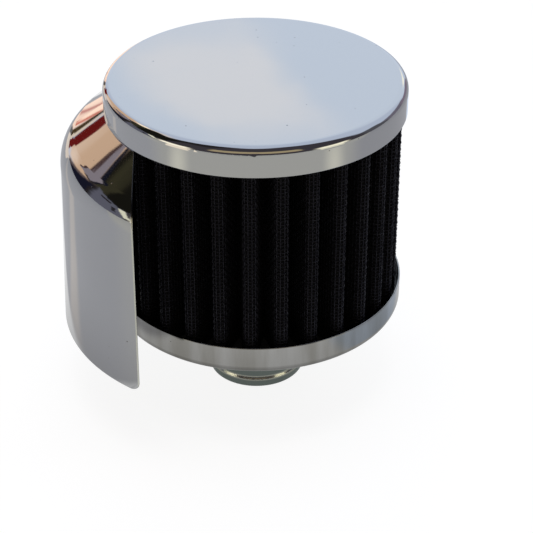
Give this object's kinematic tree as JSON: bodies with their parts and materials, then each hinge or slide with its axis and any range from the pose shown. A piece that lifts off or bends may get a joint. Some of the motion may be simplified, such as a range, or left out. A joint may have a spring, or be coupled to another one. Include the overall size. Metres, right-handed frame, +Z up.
{
  "type": "crankcase breather filter",
  "caption": "Push-in crankcase breather: pleated wire-cloth element between two chromed caps, a beaded neck below, and a curved sheet shield on one side",
  "frame": {"origin": "on the neck's axis, where the neck leaves the underside of the bottom cap", "axes": "+Z runs up the axis from the neck to the top cap, -X points to the shield, and the part is the same on +Y and -Y"},
  "size_m": [0.0892, 0.084, 0.086],
  "materials": {
    "chrome": "polished",
    "zinc": "zinc plated, satin",
    "wire_cloth": "black coated wire cloth",
    "filter_media": "matt",
    "potting": "matt"
  },
  "bodies": {
    "root": {"top_cap": "chrome", "bottom_cap": "chrome", "hood": "chrome", "neck": "zinc", "outer_screen": "wire_cloth", "inner_screen": "wire_cloth", "filter_media": "filter_media", "top_potting": "potting", "bottom_potting": "potting"}
  },
  "joints": []
}
